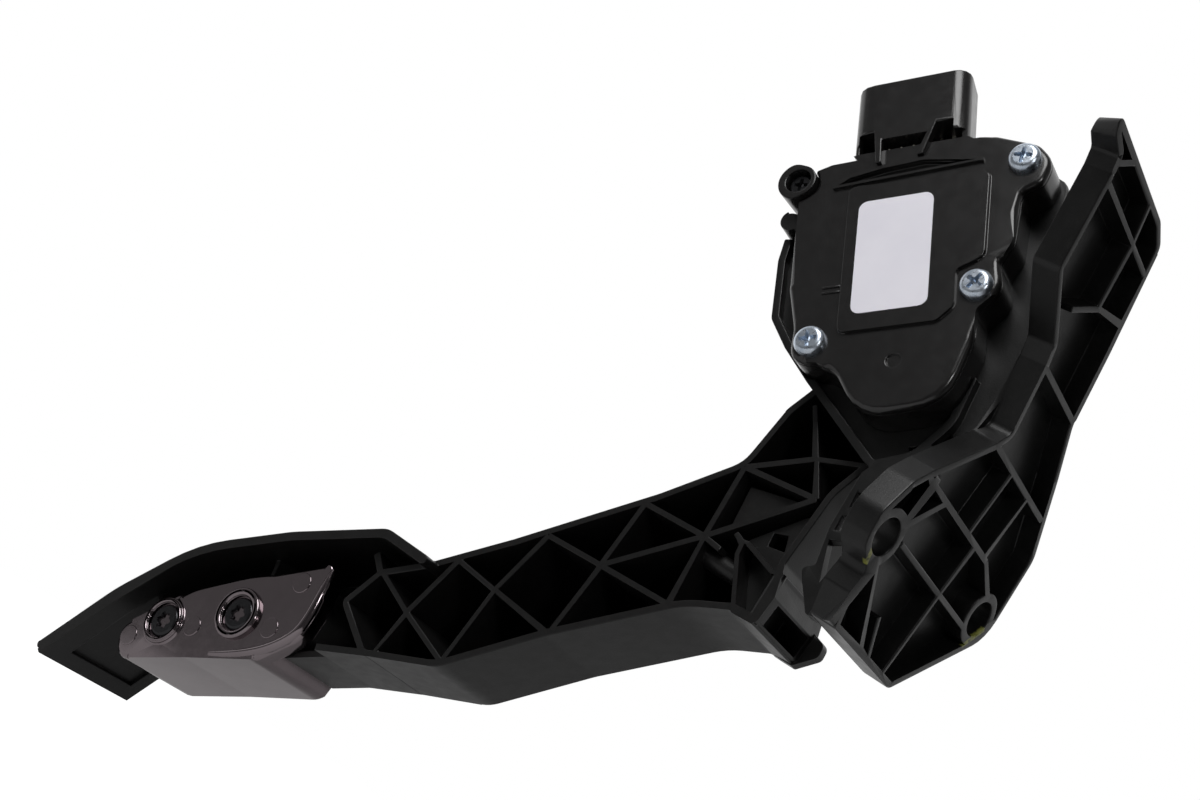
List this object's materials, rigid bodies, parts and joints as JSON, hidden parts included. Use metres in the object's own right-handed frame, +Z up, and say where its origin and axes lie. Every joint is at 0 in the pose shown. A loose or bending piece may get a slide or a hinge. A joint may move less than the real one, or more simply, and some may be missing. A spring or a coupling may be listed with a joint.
{
  "type": "accelerator pedal",
  "caption": "Hanging accelerator pedal: ribbed plastic arm with curved foot pad and plated trim, spring-returned in a bolted bracket with a side position sensor.",
  "frame": {"origin": "middle of the two mounting bores on the face that meets the bulkhead", "axes": "+X forward through the bulkhead, +Y to the left of the car, +Z up"},
  "size_m": [0.2325, 0.1002, 0.2947],
  "materials": {
    "bracket_plastic": "moulded glass-filled nylon, matt",
    "arm_plastic": "moulded glass-filled nylon, satin",
    "sensor_plastic": "moulded polyester, satin",
    "seat_plastic": "moulded acetal",
    "shoe_acetal": "friction grade acetal",
    "bush_polymer": "bearing polymer",
    "stop_rubber": "moulded rubber",
    "seal_silicone": "silicone bead",
    "board_laminate": "solder-masked laminate",
    "pin_brass": "tinned brass",
    "spring_steel": "drawn wire",
    "shaft_steel": "ground",
    "zinc_screw_steel": "zinc plated, clear blue passivated",
    "black_screw_steel": "black coated",
    "magnet_ferrite": "bonded ferrite",
    "label_film": "bare white printed-label film",
    "trim_plating": "smoked satin chrome on ABS"
  },
  "bodies": {
    "bracket": {"bracket_housing": "bracket_plastic", "near_bush": "bush_polymer", "far_bush": "bush_polymer", "idle_stop_buffer": "stop_rubber", "spring_seat": "seat_plastic", "return_spring_outer": "spring_steel", "return_spring_inner": "spring_steel", "sensor_housing": "sensor_plastic", "cover_seal": "seal_silicone", "circuit_board": "board_laminate", "contact_pins": "pin_brass", "sensor_cover": "sensor_plastic", "cover_screws": "zinc_screw_steel", "boss_screw": "black_screw_steel", "label": "label_film"},
    "pedal": {"pedal_arm": "arm_plastic", "pivot_shaft": "shaft_steel", "sensor_rotor": "seat_plastic", "rotor_magnet": "magnet_ferrite", "spring_cup": "seat_plastic", "friction_shoe": "shoe_acetal", "pad_trim": "trim_plating", "trim_screws": "black_screw_steel"}
  },
  "joints": [
    {"name": "pedal_pivot", "type": "hinge", "parent": "bracket", "child": "pedal", "pos_m": [-0.032, 0.004, 0.0385], "axis": [0, -1, 0], "range_deg": [0, 12.5], "stiffness_Nm_per_rad": 6.8, "springref_deg": -20.63, "deforming": ["return_spring_outer", "return_spring_inner"]}
  ]
}
